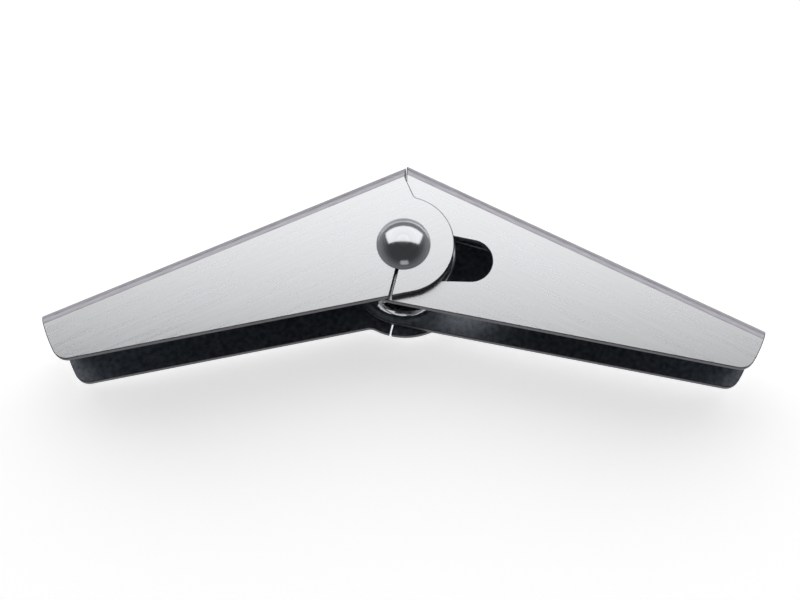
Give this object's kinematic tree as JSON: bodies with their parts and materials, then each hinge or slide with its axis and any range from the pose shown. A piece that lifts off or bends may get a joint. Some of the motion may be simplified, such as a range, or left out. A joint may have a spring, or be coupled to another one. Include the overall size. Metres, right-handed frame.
{
  "type": "spring toggle",
  "caption": "Two folded sheet-steel wings hinged on a cross-threaded nut and spread by a wire spring, to grip behind a hollow wall.",
  "frame": {"origin": "middle of the nut, where the bolt's axis crosses the axis that both wings turn on", "axes": "+X along the spread wings towards the inner wing's tip, +Y along the bolt from its head to its end, +Z along the nut; the toggle lies on its side, with the plate that has the window on top"},
  "size_m": [0.0848, 0.0257, 0.0154],
  "materials": {
    "wing_sheet": "bright zinc plate on pressed sheet, smooth, with darker sheared edges",
    "nut_steel": "turned steel with bright zinc plate, polished by tumbling",
    "spring_wire": "hard-drawn spring wire, satin"
  },
  "bodies": {
    "nut": {"toggle_nut": "nut_steel", "spring": "spring_wire"},
    "outer_wing": {"outer_wing": "wing_sheet"},
    "inner_wing": {"inner_wing": "wing_sheet"}
  },
  "joints": [
    {"name": "outer_wing_fold", "type": "hinge", "parent": "nut", "child": "outer_wing", "pos_m": [0, 0, 0], "axis": [0, 0, 1], "range_deg": [0, 70], "stiffness_Nm_per_rad": 0.02, "springref_deg": -20.05, "deforming": ["spring"]},
    {"name": "inner_wing_fold", "type": "hinge", "parent": "nut", "child": "inner_wing", "pos_m": [0, 0, 0], "axis": [0, 0, -1], "range_deg": [0, 70], "stiffness_Nm_per_rad": 0.02, "springref_deg": -20.05, "deforming": ["spring"]}
  ]
}
